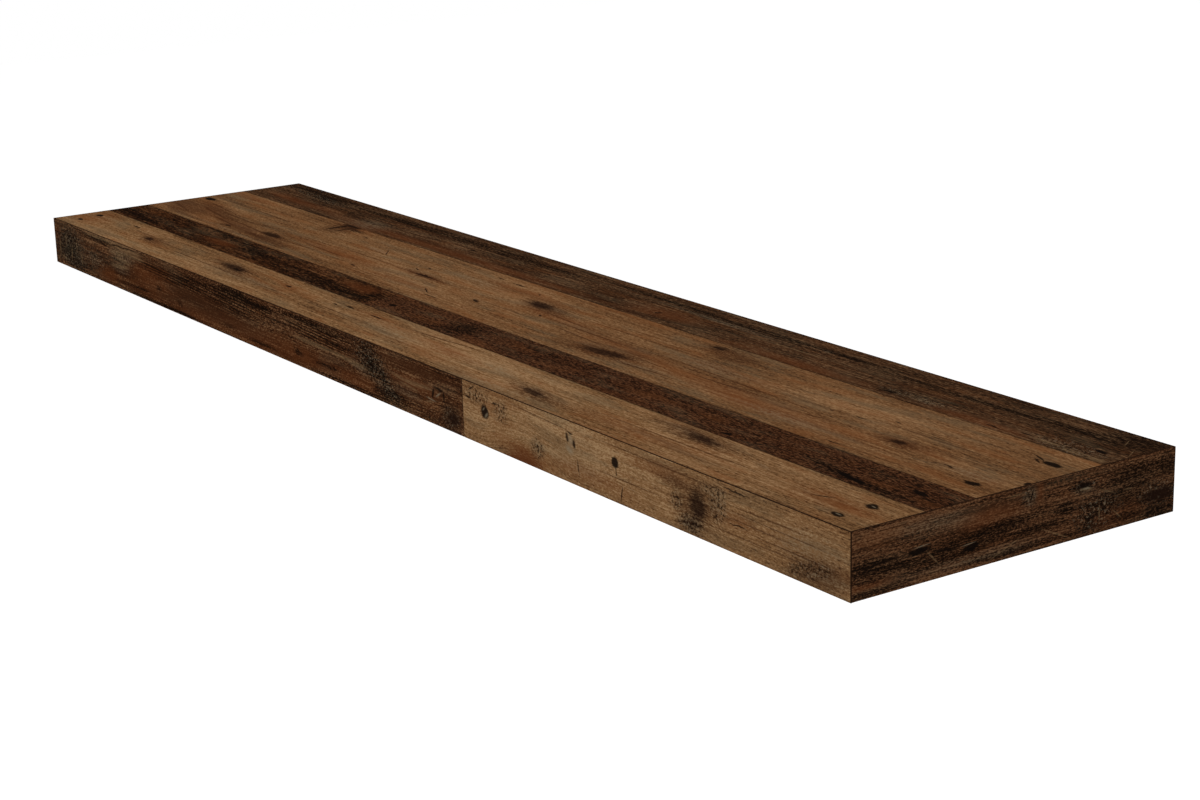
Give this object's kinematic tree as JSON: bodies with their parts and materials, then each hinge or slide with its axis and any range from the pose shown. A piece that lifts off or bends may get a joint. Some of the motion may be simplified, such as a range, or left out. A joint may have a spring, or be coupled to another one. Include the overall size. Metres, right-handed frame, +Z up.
{
  "type": "floating wall shelf",
  "caption": "Long straight floating shelf with an old-wood plank decor, a hollow board that slides onto round rods of a hidden steel wall bracket.",
  "frame": {"origin": "middle of the wall rail's back face, in the plane of the wall", "axes": "+X along the shelf to the right as seen from the room, +Y into the wall, +Z up"},
  "size_m": [1.1, 0.245, 0.04],
  "materials": {
    "top_decor": "matt printed old-wood plank decor on 3 mm fibreboard",
    "bottom_decor": "matt printed old-wood plank decor on 3 mm fibreboard",
    "front_decor": "matt printed old-wood edge band, dark and light plank",
    "end_decor": "matt printed old-wood edge band, dark plank",
    "particleboard": "sawn",
    "pine": "planed",
    "honeycomb_paper": "unbleached paper web",
    "bracket_steel": "black powder coat",
    "insert_brass": "turned",
    "screw_steel": "zinc plated"
  },
  "bodies": {
    "wall_bracket": {"wall_rail": "bracket_steel", "support_rod_1": "bracket_steel", "support_rod_2": "bracket_steel", "support_rod_3": "bracket_steel", "support_rod_4": "bracket_steel"},
    "shelf_board": {"top_panel": "top_decor", "bottom_panel": "bottom_decor", "front_rail": "particleboard", "left_stile": "particleboard", "right_stile": "particleboard", "rear_rail": "particleboard", "rod_block_1": "pine", "rod_block_2": "pine", "rod_block_3": "pine", "rod_block_4": "pine", "honeycomb_1": "honeycomb_paper", "honeycomb_2": "honeycomb_paper", "honeycomb_3": "honeycomb_paper", "honeycomb_4": "honeycomb_paper", "honeycomb_5": "honeycomb_paper", "front_band": "front_decor", "left_band": "end_decor", "right_band": "end_decor", "insert_nut_left": "insert_brass", "insert_nut_right": "insert_brass", "locking_screw_left": "screw_steel", "locking_screw_right": "screw_steel"}
  },
  "joints": [
    {"name": "board_slide", "type": "slide", "parent": "wall_bracket", "child": "shelf_board", "axis": [0, -1, 0], "range_m": [0, 0.16]}
  ]
}
